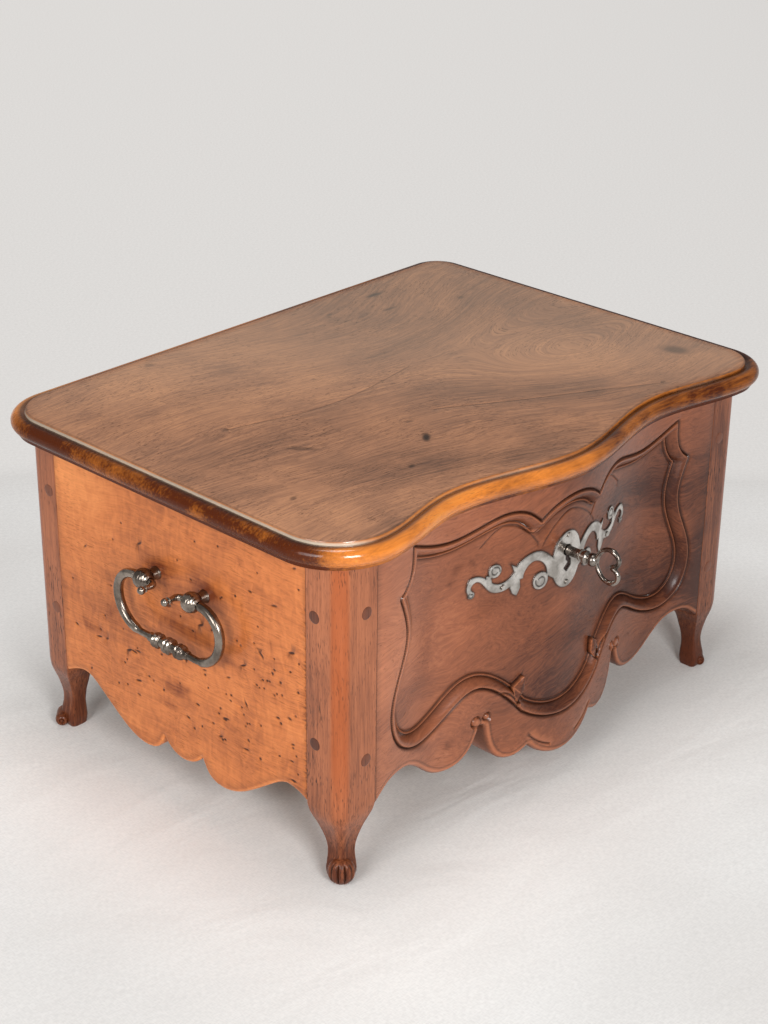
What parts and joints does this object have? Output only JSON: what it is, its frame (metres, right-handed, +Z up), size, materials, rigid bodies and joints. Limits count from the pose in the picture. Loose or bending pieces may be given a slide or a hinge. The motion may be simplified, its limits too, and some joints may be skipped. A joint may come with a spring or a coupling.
{
  "type": "desk letter box",
  "caption": "Walnut letter box on cabriole legs: serpentine carved front, hinged moulded lid, drop handles, scrolled escutcheon, lock and key.",
  "frame": {"origin": "on the ground plane under the centre of the whole piece, which reaches from the key bow in front to the back edge of the lid", "axes": "+X to the right along the front, +Y from the front to the back, +Z up"},
  "size_m": [0.4302, 0.34, 0.2305],
  "materials": {
    "walnut": "old waxed walnut, worn and faded on top",
    "peg_wood": "dark end grain pegs, flush",
    "inner_wood": "plain unpolished board",
    "bright_steel": "hand filed and polished steel with dark pits",
    "dark_iron": "forged iron, browned, rubbed bright on the high places",
    "lock_steel": "dull forged steel"
  },
  "bodies": {
    "chest": {"back_left_post": "walnut", "back_panel": "walnut", "back_right_post": "walnut", "body_hinge_screws": "dark_iron", "bottom_board": "inner_wood", "escutcheon": "bright_steel", "escutcheon_pins": "bright_steel", "front_left_post": "walnut", "front_panel": "walnut", "front_right_post": "walnut", "left_handle_nuts": "dark_iron", "left_handle_studs": "dark_iron", "left_handle_washers": "dark_iron", "left_hinge_body_leaf": "dark_iron", "left_hinge_pin": "dark_iron", "left_side_panel": "walnut", "lock_case": "lock_steel", "lock_plate": "lock_steel", "lock_screws": "lock_steel", "right_handle_nuts": "dark_iron", "right_handle_studs": "dark_iron", "right_handle_washers": "dark_iron", "right_hinge_body_leaf": "dark_iron", "right_hinge_pin": "dark_iron", "right_side_panel": "walnut", "tenon_pegs": "peg_wood"},
    "lid": {"lid": "walnut", "lid_hinge_screws": "dark_iron", "lid_staple": "lock_steel", "left_hinge_lid_leaf": "dark_iron", "right_hinge_lid_leaf": "dark_iron", "staple_screws": "lock_steel"},
    "left_bail": {"left_bail": "dark_iron"},
    "right_bail": {"right_bail": "dark_iron"},
    "key": {"key": "bright_steel"},
    "bolt": {"lock_bolt": "lock_steel"}
  },
  "joints": [
    {"name": "lid_hinge", "type": "hinge", "parent": "chest", "child": "lid", "pos_m": [0, 0.1545, 0.212], "axis": [-1, 0, 0], "range_deg": [0, 100]},
    {"name": "left_bail_swing", "type": "hinge", "parent": "chest", "child": "left_bail", "pos_m": [-0.2015, 0.0115, 0.157], "axis": [0, 1, 0], "range_deg": [0, 100]},
    {"name": "right_bail_swing", "type": "hinge", "parent": "chest", "child": "right_bail", "pos_m": [0.2015, 0.0115, 0.157], "axis": [0, -1, 0], "range_deg": [0, 100]},
    {"name": "key_turn", "type": "hinge", "parent": "chest", "child": "key", "pos_m": [0, -0.12, 0.161], "axis": [0, 1, 0], "range_deg": [0, 360]},
    {"name": "bolt_slide", "type": "slide", "parent": "chest", "child": "bolt", "axis": [1, 0, 0], "range_m": [0, 0.009]}
  ],
  "couplings": [
    {"joint": "bolt_slide", "follows": "key_turn", "m_per_rad": 0.001432}
  ]
}
